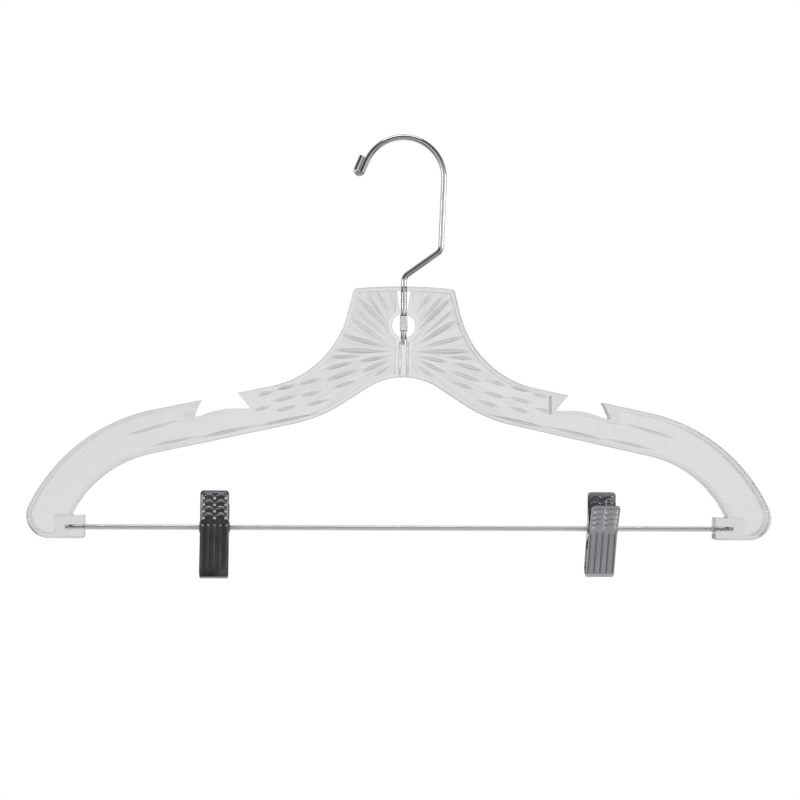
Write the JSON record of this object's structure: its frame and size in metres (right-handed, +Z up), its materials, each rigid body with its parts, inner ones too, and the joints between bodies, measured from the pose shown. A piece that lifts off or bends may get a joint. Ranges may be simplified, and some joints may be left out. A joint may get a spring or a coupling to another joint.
{
  "type": "clothes hanger",
  "caption": "Clear moulded suit hanger with a swivelling wire hook, a wire trouser bar and sliding, swinging, sprung metal trouser clips.",
  "frame": {"origin": "inside top of the hook, where it rests on the rail", "axes": "+X along the arms, -Y the front, +Z up"},
  "size_m": [0.4318, 0.0333, 0.2577],
  "materials": {
    "clear_plastic": "clear injection-moulded polystyrene, glossy",
    "hook_chrome": "bright chrome plate on drawn steel wire",
    "bar_chrome": "bright chrome plate on straight steel wire",
    "clip_chrome": "bright nickel-chrome plate on pressed steel sheet",
    "spring_steel": "bright drawn spring wire",
    "vinyl_pad": "soft translucent vinyl"
  },
  "bodies": {
    "hook": {"swivel_hook": "hook_chrome"},
    "hanger": {"hanger_body": "clear_plastic", "trouser_bar": "bar_chrome"},
    "left_clip_carriage": {"left_clip_pivot_tube": "clip_chrome"},
    "left_clip_rear": {"left_clip_rear_jaw": "clip_chrome", "left_clip_rear_pad": "vinyl_pad", "left_clip_spring": "spring_steel"},
    "left_clip_front": {"left_clip_front_jaw": "clip_chrome", "left_clip_front_pad": "vinyl_pad"},
    "right_clip_carriage": {"right_clip_pivot_tube": "clip_chrome"},
    "right_clip_rear": {"right_clip_rear_jaw": "clip_chrome", "right_clip_rear_pad": "vinyl_pad", "right_clip_spring": "spring_steel"},
    "right_clip_front": {"right_clip_front_jaw": "clip_chrome", "right_clip_front_pad": "vinyl_pad"}
  },
  "joints": [
    {"name": "hook_swivel", "type": "hinge", "parent": "hook", "child": "hanger", "pos_m": [0, 0, -0.0855], "axis": [0, 0, 1], "continuous": true},
    {"name": "left_clip_slide", "type": "slide", "parent": "hanger", "child": "left_clip_carriage", "axis": [1, 0, 0], "range_m": [-0.0445, 0.099]},
    {"name": "left_clip_swing", "type": "hinge", "parent": "left_clip_carriage", "child": "left_clip_rear", "pos_m": [-0.1085, 0, -0.22525], "axis": [1, 0, 0], "continuous": true},
    {"name": "left_clip_open", "type": "hinge", "parent": "left_clip_rear", "child": "left_clip_front", "pos_m": [-0.1085, 0, -0.22525], "axis": [-1, 0, 0], "range_deg": [0, 38], "stiffness_Nm_per_rad": 0.25, "springref_deg": -40.11, "deforming": ["left_clip_spring"]},
    {"name": "right_clip_slide", "type": "slide", "parent": "hanger", "child": "right_clip_carriage", "axis": [1, 0, 0], "range_m": [-0.1075, 0.036]},
    {"name": "right_clip_swing", "type": "hinge", "parent": "right_clip_carriage", "child": "right_clip_rear", "pos_m": [0.117, 0, -0.22525], "axis": [1, 0, 0], "continuous": true},
    {"name": "right_clip_open", "type": "hinge", "parent": "right_clip_rear", "child": "right_clip_front", "pos_m": [0.117, 0, -0.22525], "axis": [-1, 0, 0], "range_deg": [0, 38], "stiffness_Nm_per_rad": 0.25, "springref_deg": -40.11, "deforming": ["right_clip_spring"]}
  ]
}
